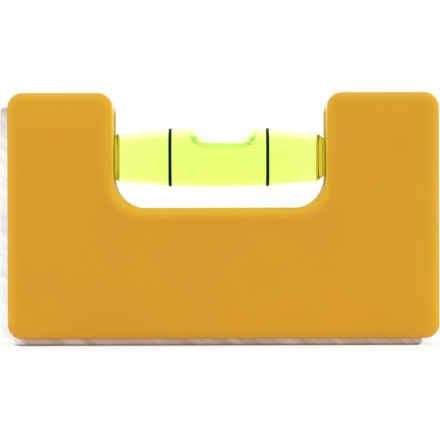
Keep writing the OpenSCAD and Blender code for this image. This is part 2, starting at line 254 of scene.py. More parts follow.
def moulded_abs():
    """ABS from a spark-eroded mould: an even, soft gloss over a fine grain, a shade deeper here and there."""
    props = bpy.context.scene.level_body
    material, tree = new_material("abs_moulded")
    coords = add(tree, "ShaderNodeTexCoord")
    place = coords.outputs["Object"]
    # The real grain is too fine to show, so it is drawn coarser
    grain = add(tree, "ShaderNodeTexNoise", {
        "Vector": place, "Scale": per_metre(props.grain), "Detail": 2.0, "Roughness": 0.55,
    })
    flow = add(tree, "ShaderNodeTexNoise", {
        "Vector": place, "Scale": per_metre(FLOW_WIDTH), "Detail": 3.0, "Roughness": 0.5,
    })
    shade = add(tree, "ShaderNodeMapRange", {
        "Value": flow.outputs["Fac"], "From Min": 0.3, "From Max": 0.7, "To Min": 0.97, "To Max": 1.03,
    })
    # Painted highlight: rolls and sides, which face neither front, rear nor ground, are painted yellower, as
    # where the light falls on them
    facing = add(tree, "ShaderNodeSeparateXYZ", {"Vector": coords.outputs["Normal"]})
    flat = add(tree, "ShaderNodeMath", {0: facing.outputs["Y"]}, operation="ABSOLUTE")
    edge = add(tree, "ShaderNodeMapRange", {
        "Value": flat.outputs[0], "From Min": 0.75, "From Max": 1.0, "To Min": 1.0, "To Max": 0.0,
    })
    soft = add(tree, "ShaderNodeMath", {0: edge.outputs["Result"], 1: 0.5}, operation="POWER")
    raised = add(tree, "ShaderNodeMapRange", {
        "Value": facing.outputs["Z"], "From Min": -0.25, "From Max": 0.0,
    })
    lit_faces = add(tree, "ShaderNodeMath", {
        0: soft.outputs[0], 1: raised.outputs["Result"],
    }, operation="MULTIPLY")
    # Painted light: the faces are painted yellower too along the top and down the right side, where the lamps
    # fall
    where = add(tree, "ShaderNodeSeparateXYZ", {"Vector": place})
    right = add(tree, "ShaderNodeMapRange", {
        "Value": where.outputs["X"], "From Min": LIT_RIGHT[0], "From Max": LIT_RIGHT[1], "To Max": 0.6,
    })
    top = add(tree, "ShaderNodeMapRange", {
        "Value": where.outputs["Z"], "From Min": LIT_TOP[0], "From Max": LIT_TOP[1], "To Max": 0.6,
    })
    lit_margin = add(tree, "ShaderNodeMath", {
        0: right.outputs["Result"], 1: top.outputs["Result"],
    }, operation="MAXIMUM")
    lit_mask = add(tree, "ShaderNodeMath", {
        0: lit_faces.outputs[0], 1: lit_margin.outputs[0],
    }, operation="MAXIMUM")
    tone = add(tree, "ShaderNodeMix", {
        "Factor": lit_mask.outputs[0], "A": rgba(props.plastic), "B": rgba(props.rubbed),
    }, data_type="RGBA")
    # The notch's walls are painted brighter on their front half, a painted highlight, and darker and more
    # olive on their rear half, a painted shade; their gloss is duller
    aside = add(tree, "ShaderNodeMath", {0: where.outputs["X"]}, operation="ABSOLUTE")
    between = add(tree, "ShaderNodeMapRange", {
        "Value": aside.outputs[0], "From Min": WALLS_FADE[0], "From Max": WALLS_FADE[1],
        "To Min": 1.0, "To Max": 0.0,
    })
    upright = add(tree, "ShaderNodeMath", {0: facing.outputs["X"]}, operation="ABSOLUTE")
    steep = add(tree, "ShaderNodeMapRange", {
        "Value": upright.outputs[0], "From Min": 0.93, "From Max": 0.99, "To Min": 0.25, "To Max": 1.0,
    })
    inside = add(tree, "ShaderNodeMath", {
        0: between.outputs["Result"], 1: lit_faces.outputs[0],
    }, operation="MULTIPLY")
    walls = add(tree, "ShaderNodeMath", {
        0: inside.outputs[0], 1: steep.outputs["Result"],
    }, operation="MULTIPLY")
    depth = add(tree, "ShaderNodeMapRange", {
        "Value": where.outputs["Y"], "From Min": WALL_SHADE_START[0], "From Max": WALL_SHADE_START[1],
    })
    wall_light_shade = add(tree, "ShaderNodeMix", {
        "Factor": depth.outputs["Result"], "A": rgba(props.polished), "B": rgba(props.wall_shade),
    }, data_type="RGBA")
    painted_tone = add(tree, "ShaderNodeMix", {
        "Factor": walls.outputs[0], "A": tone.outputs["Result"], "B": wall_light_shade.outputs["Result"],
    }, data_type="RGBA")
    dull = add(tree, "ShaderNodeMapRange", {"Value": walls.outputs[0], "To Min": 0.35, "To Max": 0.05})
    # The notch's top corners are rubbed smooth, so they mirror the room
    inward = add(tree, "ShaderNodeMapRange", {
        "Value": aside.outputs[0], "From Min": CORNERS_FADE[0], "From Max": CORNERS_FADE[1],
        "To Min": 1.0, "To Max": 0.0,
    })
    high = add(tree, "ShaderNodeMapRange", {
        "Value": where.outputs["Z"], "From Min": CORNERS_START[0], "From Max": CORNERS_START[1],
    })
    corner = add(tree, "ShaderNodeMath", {
        0: inward.outputs["Result"], 1: high.outputs["Result"],
    }, operation="MULTIPLY")
    across = add(tree, "ShaderNodeMapRange", {
        "Value": flat.outputs[0], "From Min": 0.05, "From Max": 0.3, "To Min": 1.0, "To Max": 0.0,
    })
    crest = add(tree, "ShaderNodeMath", {
        0: corner.outputs[0], 1: across.outputs["Result"],
    }, operation="MULTIPLY")
    gloss = add(tree, "ShaderNodeMix", {
        "Factor": crest.outputs[0], "A": dull.outputs["Result"], "B": 1.0,
    })
    colour = add(tree, "ShaderNodeHueSaturation", {
        "Color": painted_tone.outputs["Result"], "Value": shade.outputs["Result"],
    })
    # Rubbed patches from the pocket are a little glossier than the grain
    rubbed = add(tree, "ShaderNodeTexNoise", {
        "Vector": place, "Scale": per_metre(PATCH_WIDTH), "Detail": 4.0, "Roughness": 0.6,
    })
    rough = add(tree, "ShaderNodeMapRange", {
        "Value": rubbed.outputs["Fac"], "From Min": 0.35, "From Max": 0.65, "To Min": 0.5, "To Max": 0.6,
    })
    smooth = add(tree, "ShaderNodeMix", {
        "Factor": crest.outputs[0], "A": rough.outputs["Result"], "B": 0.12,
    })
    bump = add(tree, "ShaderNodeBump", {
        "Strength": 0.12, "Distance": 0.02 * MM, "Height": grain.outputs["Fac"],
    })
    shader = add(tree, "ShaderNodeBsdfPrincipled", {
        "Base Color": colour.outputs["Color"], "Roughness": smooth.outputs["Result"], "IOR": 1.45,
        "Specular IOR Level": 0.35, "Normal": bump.outputs["Normal"],
    })
    tree.links.new(gloss.outputs["Result"], shader.inputs["Specular IOR Level"])
    add(tree, "ShaderNodeOutputMaterial", {"Surface": shader.outputs["BSDF"]})
    return material


# The saw's strokes lie at this slant, and the values of their pattern go from faint to bold between these two
SAW_SLANT = math.radians(52)
FAINT, BOLD = 0.38, 0.66
# The patterns' scale along the saw's strokes and along the die's lines, as a share of that across them
ALONG_STROKES = 0.14
ALONG_LINES = 0.003
# Heights over which the base's painted reflection thins out, the left leg's top turns browner and the foot's
# painted shadow ends
BASE_BROWN_TOP = (1.6 * MM, 3.2 * MM)
TIP_BROWN = (33 * MM, 38 * MM)
FOOT_SHADOW = (0.15 * MM, 0.45 * MM)
# Distances along the base over which its painted reflection starts at the left
BASE_BROWN_LEFT = (-33.4 * MM, -30.8 * MM)


def sawn_aluminium():
    """Extruded aluminium sawn to width: die lines on the true faces, slanting saw marks on the cut edges."""
    props = bpy.context.scene.level_body
    material, tree = new_material("aluminium_extruded_and_sawn")
    coords = add(tree, "ShaderNodeTexCoord")
    place = coords.outputs["Object"]
    facing = add(tree, "ShaderNodeSeparateXYZ", {"Vector": coords.outputs["Normal"]})
    across = add(tree, "ShaderNodeMath", {0: facing.outputs["Y"]}, operation="ABSOLUTE")
    cut = add(tree, "ShaderNodeMath", {0: across.outputs[0], 1: 0.7}, operation="GREATER_THAN")
    # The saw's teeth leave uneven strokes at a slant
    slant = add(tree, "ShaderNodeMapping", {"Vector": place, "Rotation": (0, SAW_SLANT, 0)})
    stretched = add(tree, "ShaderNodeMapping", {
        "Vector": slant.outputs["Vector"], "Scale": (1, 1, ALONG_STROKES),
    })
    strokes = add(tree, "ShaderNodeTexNoise", {
        "Vector": stretched.outputs["Vector"], "Scale": per_metre(props.saw_pitch), "Detail": 5.0,
        "Roughness": 0.62,
    })
    # The die's lines run straight from front to rear, and are fainter
    drawn = add(tree, "ShaderNodeMapping", {"Vector": place, "Scale": (1, ALONG_LINES, 1)})
    lines = add(tree, "ShaderNodeTexNoise", {
        "Vector": drawn.outputs["Vector"], "Scale": per_metre(LINE_WIDTH), "Detail": 2.0, "Roughness": 0.5,
    })
    faint = add(tree, "ShaderNodeMapRange", {
        "Value": lines.outputs["Fac"], "From Min": 0.25, "From Max": 0.75, "To Min": 0.43, "To Max": 0.57,
    })
    marks = add(tree, "ShaderNodeMix", {
        "Factor": cut.outputs[0], "A": faint.outputs["Result"], "B": strokes.outputs["Fac"],
    })
    bright = add(tree, "ShaderNodeMapRange", {
        "Value": marks.outputs["Result"], "From Min": FAINT, "From Max": BOLD, "To Min": 0.86, "To Max": 1.15,
    })
    # Painted reflection: the base's edge is browner and darker, in place of the dim, yellow surroundings it
    # mirrors, most of all between the marks, and it thins out towards the left leg
    caught = add(tree, "ShaderNodeMapRange", {
        "Value": marks.outputs["Result"], "From Min": FAINT, "From Max": BOLD, "To Min": 1.0, "To Max": 0.86,
    })
    where = add(tree, "ShaderNodeSeparateXYZ", {"Vector": place})
    low = add(tree, "ShaderNodeMapRange", {
        "Value": where.outputs["Z"], "From Min": BASE_BROWN_TOP[0], "From Max": BASE_BROWN_TOP[1],
        "To Min": 1.0, "To Max": 0.0,
    })
    swept = add(tree, "ShaderNodeMapRange", {
        "Value": where.outputs["X"], "From Min": BASE_BROWN_LEFT[0], "From Max": BASE_BROWN_LEFT[1],
        "To Max": caught.outputs["Result"],
    })
    base_reflection = add(tree, "ShaderNodeMath", {
        0: low.outputs["Result"], 1: swept.outputs["Result"],
    }, operation="MULTIPLY")
    # The top of the left leg is browner too, and the foot's sharp edge is darker: a painted shadow where the
    # rail stands on the floor
    tip = add(tree, "ShaderNodeMapRange", {
        "Value": where.outputs["Z"], "From Min": TIP_BROWN[0], "From Max": TIP_BROWN[1], "To Max": 0.6,
    })
    painted_tone = add(tree, "ShaderNodeMath", {
        0: base_reflection.outputs[0], 1: tip.outputs["Result"],
    }, operation="MAXIMUM")
    browned = add(tree, "ShaderNodeMix", {
        "Factor": painted_tone.outputs[0], "A": rgba(props.metal), "B": rgba(props.painted_dark),
    }, data_type="RGBA")
    # Painted shadow: darker towards the very bottom of the rail
    foot = add(tree, "ShaderNodeMapRange", {
        "Value": where.outputs["Z"], "From Min": FOOT_SHADOW[0], "From Max": FOOT_SHADOW[1],
        "To Min": 0.42, "To Max": 1.0,
    })
    tone = add(tree, "ShaderNodeHueSaturation", {
        "Color": browned.outputs["Result"], "Value": foot.outputs["Result"],
    })
    colour = add(tree, "ShaderNodeHueSaturation", {
        "Color": tone.outputs["Color"], "Value": bright.outputs["Result"],
    })
    rough = add(tree, "ShaderNodeMapRange", {
        "Value": marks.outputs["Result"], "From Min": 0.35, "From Max": 0.65, "To Min": 0.3, "To Max": 0.48,
    })
    bump = add(tree, "ShaderNodeBump", {
        "Strength": 0.35, "Distance": 0.03 * MM, "Height": marks.outputs["Result"],
    })
    shader = add(tree, "ShaderNodeBsdfPrincipled", {
        "Base Color": colour.outputs["Color"], "Metallic": 1.0, "Roughness": rough.outputs["Result"],
        "Normal": bump.outputs["Normal"],
    })
    add(tree, "ShaderNodeOutputMaterial", {"Surface": shader.outputs["BSDF"]})
    return material


def plated_nickel():
    """Nickel plate on a pressed magnet: bright, with a faint orange-peel and small dull spots."""
    props = bpy.context.scene.level_body
    material, tree = new_material("nickel_plated")
    place = add(tree, "ShaderNodeTexCoord").outputs["Object"]
    peel = add(tree, "ShaderNodeTexNoise", {"Vector": place, "Scale": per_metre(PEEL_WIDTH), "Detail": 3.0})
    rough = add(tree, "ShaderNodeMapRange", {
        "Value": peel.outputs["Fac"], "From Min": 0.35, "From Max": 0.65, "To Min": 0.18, "To Max": 0.34,
    })
    bump = add(tree, "ShaderNodeBump", {
        "Strength": 0.2, "Distance": 0.01 * MM, "Height": peel.outputs["Fac"],
    })
    shader = add(tree, "ShaderNodeBsdfPrincipled", {
        "Base Color": rgba(props.nickel), "Metallic": 1.0, "Roughness": rough.outputs["Result"],
        "Normal": bump.outputs["Normal"],
    })
    add(tree, "ShaderNodeOutputMaterial", {"Surface": shader.outputs["BSDF"]})
    return material


ACRYLIC_IOR = 1.49
SPIRIT_IOR = 1.42
# A face that liquid wets bends light only by the ratio of the two, and a welded face not at all
WETTED_IOR = ACRYLIC_IOR / SPIRIT_IOR
WELDED_IOR = 1.0


def polished_acrylic(name, colour, ior):
    """Polished acrylic: clear as glass but softer in gloss, with a breath of haze from handling."""
    material, tree = new_material(name)
    place = add(tree, "ShaderNodeTexCoord").outputs["Object"]
    haze = add(tree, "ShaderNodeTexNoise", {"Vector": place, "Scale": per_metre(HAZE_WIDTH), "Detail": 4.0})
    rough = add(tree, "ShaderNodeMapRange", {
        "Value": haze.outputs["Fac"], "From Min": 0.4, "From Max": 0.7, "To Min": 0.0, "To Max": 0.04,
    })
    shader = add(tree, "ShaderNodeBsdfPrincipled", {
        "Base Color": rgba(colour), "Roughness": rough.outputs["Result"], "IOR": ior,
        "Transmission Weight": 1.0,
    })
    add(tree, "ShaderNodeOutputMaterial", {"Surface": shader.outputs["BSDF"]})
    return material


def acrylic_finishes(name, colour):
    """The finishes of one clear piece: its polished outside, what the liquid wets, and what is welded."""
    return [
        polished_acrylic(name + "_polished", colour, ACRYLIC_IOR),
        polished_acrylic(name + "_wetted", colour, WETTED_IOR),
        polished_acrylic(name + "_welded", colour, WELDED_IOR),
    ]


# Marks the liquid's skin round the bubble: one along its middle, and two at its noses, where it places the
# painted shade
SKIN = "bubble_skin"
# How far out from the middle of the bubble's crown the painted shade on its skin starts, and is deepest
SKIN_NEAR = 0.56
SKIN_FAR = 0.88
# Share of the dye's glow that leaves at the noses, which the painted shade dims
NOSE_GLOW = 0.2


def dyed_spirit():
    """White spirit with a fluorescent dye: clear, and yellower the more of it the eye looks through."""
    props = bpy.context.scene.level_vial
    material, tree = new_material("spirit_dyed")
    # Only the skin round the bubble bends light here: the bore's own wall does it where the liquid wets it
    skin = add(tree, "ShaderNodeAttribute", attribute_name=SKIN)
    bend = add(tree, "ShaderNodeMapRange", {
        "Value": skin.outputs["Fac"], "To Min": 1.0, "To Max": SPIRIT_IOR,
    })
    shader = add(tree, "ShaderNodeBsdfPrincipled", {
        "Base Color": (1, 1, 1, 1), "Roughness": 0.0, "IOR": SPIRIT_IOR, "Transmission Weight": 1.0,
        "Emission Color": rgba(props.glow), "Emission Strength": props.glow_strength,
    })
    # Painted shade: towards the bubble's noses that skin is painted deeper in colour, and less of the dye's
    # glow leaves through it, for the dark hooks at the bubble's ends
    nose = add(tree, "ShaderNodeMapRange", {"Value": skin.outputs["Fac"], "From Min": 1.0, "From Max": 2.0})
    nose_shade = add(tree, "ShaderNodeMix", {
        "Factor": nose.outputs["Result"], "A": (1, 1, 1, 1), "B": rgba(props.nose),
    }, data_type="RGBA")
    dimmed = add(tree, "ShaderNodeMapRange", {
        "Value": nose.outputs["Result"], "To Min": props.glow_strength,
        "To Max": NOSE_GLOW * props.glow_strength,
    })
    tree.links.new(nose_shade.outputs["Result"], shader.inputs["Base Color"])
    tree.links.new(bend.outputs["Result"], shader.inputs["IOR"])
    tree.links.new(dimmed.outputs["Result"], shader.inputs["Emission Strength"])
    inside = add(tree, "ShaderNodeVolumeAbsorption", {
        "Color": rgba(props.dye), "Density": 1.0 / props.dye_depth,
    })
    add(tree, "ShaderNodeOutputMaterial", {
        "Surface": shader.outputs["BSDF"], "Volume": inside.outputs["Volume"],
    })
    return material


def pocket_of_air():
    """Air: it bends no light itself, so the eye sees only the liquid's own skin round it."""
    material, tree = new_material("air_in_liquid")
    shader = add(tree, "ShaderNodeBsdfPrincipled", {
        "Base Color": (1, 1, 1, 1), "Roughness": 0.0, "IOR": 1.0, "Transmission Weight": 1.0,
    })
    add(tree, "ShaderNodeOutputMaterial", {"Surface": shader.outputs["BSDF"]})
    return material


def printed_ink():
    """Pad-printed ink: dense black, a little thin in places and duller than the acrylic."""
    props = bpy.context.scene.level_vial
    material, tree = new_material("ink_printed")
    place = add(tree, "ShaderNodeTexCoord").outputs["Object"]
    cover = add(tree, "ShaderNodeTexNoise", {"Vector": place, "Scale": per_metre(COVER_WIDTH), "Detail": 3.0})
    shade = add(tree, "ShaderNodeMapRange", {
        "Value": cover.outputs["Fac"], "From Min": 0.3, "From Max": 0.7, "To Min": 0.8, "To Max": 1.5,
    })
    colour = add(tree, "ShaderNodeHueSaturation", {
        "Color": rgba(props.ink), "Value": shade.outputs["Result"],
    })
    rough = add(tree, "ShaderNodeMapRange", {
        "Value": cover.outputs["Fac"], "From Min": 0.3, "From Max": 0.7, "To Min": 0.4, "To Max": 0.6,
    })
    shader = add(tree, "ShaderNodeBsdfPrincipled", {
        "Base Color": colour.outputs["Color"], "Roughness": rough.outputs["Result"], "IOR": 1.2,
    })
    add(tree, "ShaderNodeOutputMaterial", {"Surface": shader.outputs["BSDF"]})
    return material


def seen_ray(tree):
    """One for a ray from the camera, a reflection or a view through something clear, and otherwise nought."""
    path = add(tree, "ShaderNodeLightPath")
    direct = add(tree, "ShaderNodeMath", {
        0: path.outputs["Is Camera Ray"], 1: path.outputs["Is Glossy Ray"],
    }, operation="MAXIMUM")
    return add(tree, "ShaderNodeMath", {
        0: direct.outputs[0], 1: path.outputs["Is Transmission Ray"],
    }, operation="MAXIMUM").outputs[0]


# Share of the paper's own shading that the camera sees, so that the level keeps its shadow
PAPER_SHADE = 0.25


def white_paper():
    """Seamless paper: white to the eye and in reflections, and still shaded where the level stands on it."""
    props = bpy.context.scene.level_stage
    material, tree = new_material("paper_seamless")
    place = add(tree, "ShaderNodeTexCoord").outputs["Object"]
    fibre = add(tree, "ShaderNodeTexNoise", {"Vector": place, "Scale": per_metre(FIBRE_WIDTH), "Detail": 3.0})
    shade = add(tree, "ShaderNodeMapRange", {"Value": fibre.outputs["Fac"], "To Min": 0.99, "To Max": 1.0})
    colour = add(tree, "ShaderNodeHueSaturation", {
        "Color": rgba(props.paper), "Value": shade.outputs["Result"],
    })
    matt = add(tree, "ShaderNodeBsdfDiffuse", {"Color": colour.outputs["Color"]})
    white = add(tree, "ShaderNodeEmission", {"Color": (1, 1, 1, 1), "Strength": 1.0})
    path = add(tree, "ShaderNodeLightPath")
    direct = add(tree, "ShaderNodeMath", {
        0: path.outputs["Is Camera Ray"], 1: PAPER_SHADE,
    }, operation="MULTIPLY")
    seen = add(tree, "ShaderNodeMath", {0: seen_ray(tree), 1: direct.outputs[0]}, operation="SUBTRACT")
    share = add(tree, "ShaderNodeMath", {0: seen.outputs[0], 1: props.table}, operation="MAXIMUM")
    mix = add(tree, "ShaderNodeMixShader", {
        0: share.outputs[0], 1: matt.outputs["BSDF"], 2: white.outputs["Emission"],
    })
    add(tree, "ShaderNodeOutputMaterial", {"Surface": mix.outputs["Shader"]})
    return material


def dress(node, material):
    """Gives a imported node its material."""
    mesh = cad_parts[node].data
    mesh.materials.clear()
    mesh.materials.append(material)


def bowed(radius, bow, x):
    """Radius of a bowed barrel at a distance from its middle."""
    return radius - bow + math.sqrt(bow * bow - x * x)


def bow_points(radius, bow, left, right, steps=64):
    """Points along a bowed barrel from left to right."""
    places = [left + (right - left) * i / steps for i in range(steps + 1)]
    return [(x, bowed(radius, bow, x)) for x in places]


def eased(before, corner, after, radius, steps=6):
    """Points of a soft edge in place of a corner of a profile."""
    corner = Vector(corner)
    start = corner + (Vector(before) - corner).normalized() * radius
    end = corner + (Vector(after) - corner).normalized() * radius
    shares = [i / steps for i in range(steps + 1)]
    return [tuple(start.lerp(corner, t).lerp(corner.lerp(end, t), t)) for t in shares]


def finished(points, finish):
    """Points of a profile with the finish of the face that leads up to each."""
    return [(x, radius, finish) for x, radius in points]


def turned(profile):
    """A closed mesh turned about the vial's axis from points of distance along it, radius and finish."""
    steps = bpy.context.scene.level_vial.steps
    shape = bmesh.new()
    rings = []
    for x, radius, _ in profile:
        middle = VIAL_MIDDLE + Vector((x, 0, 0))
        count = steps if radius > 0 else 1
        angles = [math.tau * i / steps for i in range(count)]
        rings.append([shape.verts.new(middle + Vector((0, radius * math.sin(a), radius * math.cos(a))))
                      for a in angles])
    for near, far, (_, _, finish) in zip(rings, rings[1:], profile[1:]):
        for face in bridge(shape, near, far):
            face.material_index = finish
    bmesh.ops.recalc_face_normals(shape, faces=shape.faces)
    return shape


def bridge(shape, near, far):
    """Faces between two rings, either of which may be a single point."""
    count = max(len(near), len(far))
    faces = []
    for i in range(count):
        k = (i + 1) % count
        corners = [near[i % len(near)], near[k % len(near)], far[k % len(far)], far[i % len(far)]]
        faces.append(shape.faces.new(list(dict.fromkeys(corners))))
    return faces


# Faces that meet more sharply than this keep a hard edge
HARD_EDGE = math.radians(32)


def to_object(shape, name, *materials):
    """A smooth object in the scene, with its hard edges kept."""
    mesh = bpy.data.meshes.new(name)
    shape.to_mesh(mesh)
    shape.free()
    mesh.shade_smooth()
    mesh.set_sharp_from_angle(angle=HARD_EDGE)
    for material in materials:
        mesh.materials.append(material)
    piece = bpy.data.objects.new(name, mesh)
    bpy.context.scene.collection.objects.link(piece)
    return piece


# Clear pieces that are welded or wetted overlap by this much, so that no sliver of air shows between them
WELD = 0.01 * MM
# The finishes of a clear piece, in the order of its materials
POLISHED, WETTED, WELDED = range(3)
# How far inside the barrel's end a cap's rim lies
RIM_INSET = 0.06 * MM


def barrel_profile(props):
    """The barrel: a loop over its bowed outside, its right end, its bore and its left end."""
    outside = bow_points(BARREL_R, props.barrel_bow, BARREL_LEFT, BARREL_RIGHT)
    bore = bow_points(props.bore_dia / 2, props.bore_bow, BORE_LEFT, BORE_RIGHT)
    hole_r = props.step_dia / 2 + WELD
    left = eased((BARREL_LEFT, hole_r), outside[0], outside[1], props.edge / 4)
    right = eased(outside[-2], outside[-1], (BARREL_RIGHT, hole_r), props.edge / 4)
    inner = [p for p in outside if left[-1][0] < p[0] < right[0][0]]
    return (
        finished(left + inner + right, POLISHED)
        + finished([(BARREL_RIGHT, hole_r), (BORE_RIGHT, hole_r)], WELDED)
        + finished(bore[::-1], WETTED)
        + finished([(BORE_LEFT, hole_r), (BARREL_LEFT, hole_r), left[0]], WELDED)
    )


def cap_rim(props, end):
    """Radius of a cap's rim, a little inside the barrel's end."""
    return bowed(BARREL_R, props.barrel_bow, end) - RIM_INSET


def cap_profile(props, end, bore_end, neck, shoulder_r, tip):
    """A cap from its step in the barrel, over its rim and neck to its spigot in a post."""
    out = math.copysign(1, end)
    spigot_r = props.spigot_dia / 2
    step_r = props.step_dia / 2 + 2 * WELD
    rim_r = cap_rim(props, end)
    face = end - out * WELD
    neck_end = end + out * neck
    rim = eased((face, step_r), (face, rim_r), (neck_end, shoulder_r), props.edge / 4)
    shoulder = eased(rim[-1], (neck_end, shoulder_r), (neck_end, spigot_r), props.edge / 2)
    nose = eased((neck_end, spigot_r), (tip, spigot_r), (tip, 0), props.edge)
    return (
        finished([(bore_end, 0), (bore_end, step_r)], WETTED)
        + finished([(face, step_r), rim[0]], WELDED)
        + finished(rim[1:] + shoulder + [(neck_end, spigot_r)] + nose + [(tip, 0)], POLISHED)
    )


def liquid_profile(props):
    """What fills the bore, wetting its wall."""
    left = BORE_LEFT - WELD
    right = BORE_RIGHT + WELD
    wall = bow_points(props.bore_dia / 2 + WELD, props.bore_bow, left, right)
    return finished([(left, 0)] + wall + [(right, 0)], 0)


BUBBLE_RINGS = 64
BUBBLE_POINTS = 96
# How sharply the bubble's skin turns from the roof into its free side
BRIM_POWER = 60
# How bluntly the bubble's keel climbs to its noses, and how bluntly its crown falls to them
KEEL_POWER = 2.8
CROWN_POWER = 2.2
# How close to the noses the bubble's brim rises to them
RISE_POWER = 8


def bubble_ring(props, share, grow):
    """Points round the bubble at a share of its half length: a bowl pressed against the bore's roof."""
    x = share * (BUBBLE_HALF + grow)
    half_w = props.bubble_w / 2 + grow
    # From above its ends are half circles, and from the front its keel climbs to the noses
    beyond = max(0.0, abs(x) - (BUBBLE_HALF + grow - half_w)) / half_w
    plan = half_w * math.sqrt(max(0.0, 1 - beyond * beyond))
    belly = (1 - abs(share) ** KEEL_POWER) ** (1 / KEEL_POWER)
    low = props.bubble_nose - (props.bubble_nose - props.bubble_keel + grow) * belly
    brim = props.bubble_brim + (props.bubble_nose - props.bubble_brim) * share ** RISE_POWER
    above = (props.bubble_brim + grow) * (1 - abs(share) ** CROWN_POWER) ** (1 / CROWN_POWER)
    bore_r = props.bore_dia / 2
    roof = bowed(bore_r, props.bore_bow, x) - props.film + grow
    # The bore is narrower by this much at the ends of the bubble's travel, so its sides keep clear by as much
    furthest = max(-BORE_LEFT, BORE_RIGHT) - BUBBLE_HALF
    narrowed = bowed(bore_r, props.bore_bow, x) - bowed(bore_r, props.bore_bow, abs(x) + furthest)
    points = []
    for i in range(BUBBLE_POINTS):
        turn = math.tau * i / BUBBLE_POINTS
        rise = math.sin(turn)
        y = plan * math.cos(turn)
        z = brim + (above * rise if rise > 0 else (low - brim) * rise * rise)
        reach = math.hypot(y, z)
        limit = roof - narrowed * (1 - z / reach)
        held = (1 + (reach / limit) ** BRIM_POWER) ** (-1 / BRIM_POWER)
        points.append(Vector((x, y * held, z * held)))
    return points


def bubble_shape(props, grow):
    """The bubble's closed skin, set on the arc of the bore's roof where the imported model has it."""
    bore_r = props.bore_dia / 2
    tip_x = BUBBLE_HALF + grow
    tip_z = props.bubble_nose
    centre = VIAL_MIDDLE + Vector((0, 0, bore_r - props.bore_bow))
    lift = Matrix.Translation(VIAL_MIDDLE - centre)
    turn = Matrix.Rotation(math.asin(BUBBLE_OFFSET / props.bore_bow), 4, "Y")
    to_place = Matrix.Translation(centre) @ turn @ lift
    shares = [-math.cos(math.pi * i / BUBBLE_RINGS) for i in range(1, BUBBLE_RINGS)]
    lines = [[Vector((-tip_x, 0, tip_z))]]
    lines += [bubble_ring(props, share, grow) for share in shares]
    lines += [[Vector((tip_x, 0, tip_z))]]
    shape = bmesh.new()
    rings = [[shape.verts.new(to_place @ point) for point in line] for line in lines]
    for near, far in zip(rings, rings[1:]):
        bridge(shape, near, far)
    bmesh.ops.recalc_face_normals(shape, faces=shape.faces)
    return shape


def mark_skin(shape, props):
    """Marks the skin round the bubble, and how near each point of it is to a nose, which places the painted
    shade there.
    """
    mark = shape.verts.layers.float.new(SKIN)
    middle = (BUBBLE_LOW.x + BUBBLE_HIGH.x) / 2
    height = BUBBLE_HIGH.z - VIAL_MIDDLE.z - props.bubble_keel
    for vert in shape.verts:
        along = abs(vert.co.x - middle) / BUBBLE_HALF
        down = (BUBBLE_HIGH.z - vert.co.z) / height
        deeper = (math.hypot(along, down) - SKIN_NEAR) / (SKIN_FAR - SKIN_NEAR)
        vert[mark] = 1.0 + along * min(1.0, max(0.0, deeper))


class LEVEL_OT_shells(Operator):
    """Finishes the two halves of the moulded body"""

    bl_idname = "level.shells"
    bl_label = "Shells"

    def execute(self, context):
        material = moulded_abs()
        for node in ("front_shell", "rear_shell"):
            dress(node, material)
        return {"FINISHED"}


class LEVEL_OT_rail(Operator):
    """Finishes the metal rail"""

    bl_idname = "level.rail"
    bl_label = "Rail"

    def execute(self, context):
        dress("edge_rail", sawn_aluminium())
        return {"FINISHED"}


class LEVEL_OT_magnets(Operator):
    """Finishes the three magnets behind the rail"""

    bl_idname = "level.magnets"
    bl_label = "Magnets"

    def execute(self, context):
        material = plated_nickel()
        for node in ("base_magnet_left", "base_magnet_right", "side_magnet"):
            dress(node, material)
        return {"FINISHED"}


class LEVEL_OT_barrel(Operator):
    """Builds the vial's clear barrel"""

    bl_idname = "level.barrel"
    bl_label = "Barrel"

    def execute(self, context):
        props = context.scene.level_vial
        finishes = acrylic_finishes("acrylic", props.acrylic)
        piece = to_object(turned(barrel_profile(props)), "barrel_tube", *finishes)
        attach(piece, "level")
        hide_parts("vial_barrel")
        return {"FINISHED"}


class LEVEL_OT_caps(Operator):
    """Builds the caps that close the barrel and sit in the posts"""

    bl_idname = "level.caps"
    bl_label = "Caps"

    def execute(self, context):
        props = context.scene.level_vial
        # The caps' amber tint is painted shade, for the shaded posts seen through them
        finishes = acrylic_finishes("acrylic_tinted", props.cap_shade_tint)
        disc_r = cap_rim(props, BARREL_LEFT) - props.taper
        cone_r = props.spigot_dia / 2 + props.shoulder
        left = cap_profile(props, BARREL_LEFT, BORE_LEFT, props.neck_left, disc_r, LEFT_TIP)
        right = cap_profile(props, BARREL_RIGHT, BORE_RIGHT, props.neck_right, cone_r, RIGHT_TIP)
        for name, node, profile in (
            ("cap_left", "vial_cap_left", left),
            ("cap_right", "vial_cap_right", right),
        ):
            piece = to_object(turned(profile), name, *finishes)
            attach(piece, "level")
            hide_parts(node)
        return {"FINISHED"}


class LEVEL_OT_rings(Operator):
    """Finishes the two index rings"""

    bl_idname = "level.rings"
    bl_label = "Index rings"

    def execute(self, context):
        material = printed_ink()
        for node in ("index_ring_left", "index_ring_right"):
            dress(node, material)
        return {"FINISHED"}


class LEVEL_OT_liquid(Operator):
    """Builds the liquid, with a hollow where the bubble sits"""

    bl_idname = "level.liquid"
    bl_label = "Liquid"

    def execute(self, context):
        props = context.scene.level_vial
        material = dyed_spirit()
        skin = bubble_shape(props, WELD)
        bmesh.ops.reverse_faces(skin, faces=skin.faces)
        mark_skin(skin, props)
        liquid = to_object(skin, "dyed_liquid", material)
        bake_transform(liquid)
        wall = to_object(turned(liquid_profile(props)), "liquid_wall", material)
        with context.temp_override(active_object=liquid, selected_editable_objects=[liquid, wall]):
            bpy.ops.object.join()
        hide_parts("vial_liquid")
        return {"FINISHED"}


